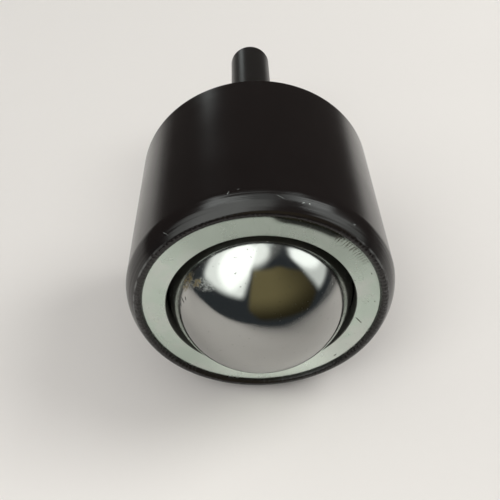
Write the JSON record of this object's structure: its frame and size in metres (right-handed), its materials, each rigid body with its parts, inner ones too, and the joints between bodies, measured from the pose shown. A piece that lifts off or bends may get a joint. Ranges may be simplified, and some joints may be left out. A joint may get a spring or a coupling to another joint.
{
  "type": "ball transfer unit",
  "caption": "Ball transfer unit: a large polished ball turns freely in a round blackened steel housing, kept in by a zinc-plated ring, with a plain locating stud on the back.",
  "frame": {"origin": "centre of the housing's flat back face, which seats on the table or frame that carries the unit", "axes": "+Z along the unit's axis, out through the load ball; the stud points down -Z; +X and +Y are any pair across it"},
  "size_m": [0.0444, 0.0444, 0.0949],
  "materials": {
    "black_steel": "blackened turned steel, satin",
    "zinc_plate": "bright zinc plate, satin",
    "chrome_ball": "mirror-polished chrome steel",
    "bearing_steel": "polished bearing steel",
    "hardened_steel": "hardened and ground steel"
  },
  "bodies": {
    "housing": {"housing": "black_steel", "stud": "black_steel", "cup": "hardened_steel", "retaining_ring": "zinc_plate"},
    "pole_ball": {"pole_ball": "bearing_steel"},
    "load_ball": {"load_ball": "chrome_ball"},
    "ball_bed": {"bed_ball_1_1": "bearing_steel", "bed_ball_1_2": "bearing_steel", "bed_ball_1_3": "bearing_steel", "bed_ball_1_4": "bearing_steel", "bed_ball_1_5": "bearing_steel", "bed_ball_1_6": "bearing_steel", "bed_ball_2_1": "bearing_steel", "bed_ball_2_2": "bearing_steel", "bed_ball_2_3": "bearing_steel", "bed_ball_2_4": "bearing_steel", "bed_ball_2_5": "bearing_steel", "bed_ball_2_6": "bearing_steel", "bed_ball_2_7": "bearing_steel", "bed_ball_2_8": "bearing_steel", "bed_ball_2_9": "bearing_steel", "bed_ball_2_10": "bearing_steel", "bed_ball_2_11": "bearing_steel", "bed_ball_2_12": "bearing_steel", "bed_row_3": "bearing_steel", "bed_row_4": "bearing_steel", "bed_row_5": "bearing_steel", "bed_row_6": "bearing_steel", "bed_row_7": "bearing_steel", "bed_row_8": "bearing_steel", "bed_row_9": "bearing_steel"}
  },
  "joints": [
    {"name": "ball_spin", "type": "hinge", "parent": "housing", "child": "pole_ball", "pos_m": [0, 0, 0.02825], "axis": [0, 0, 1], "continuous": true},
    {"name": "ball_roll", "type": "hinge", "parent": "pole_ball", "child": "load_ball", "pos_m": [0, 0, 0.02825], "axis": [1, 0, 0], "continuous": true},
    {"name": "bed_turn", "type": "hinge", "parent": "housing", "child": "ball_bed", "pos_m": [0, 0, 0.02825], "axis": [0, 0, 1], "continuous": true}
  ],
  "couplings": [
    {"joint": "bed_turn", "follows": "ball_spin", "ratio": 0.4545}
  ]
}
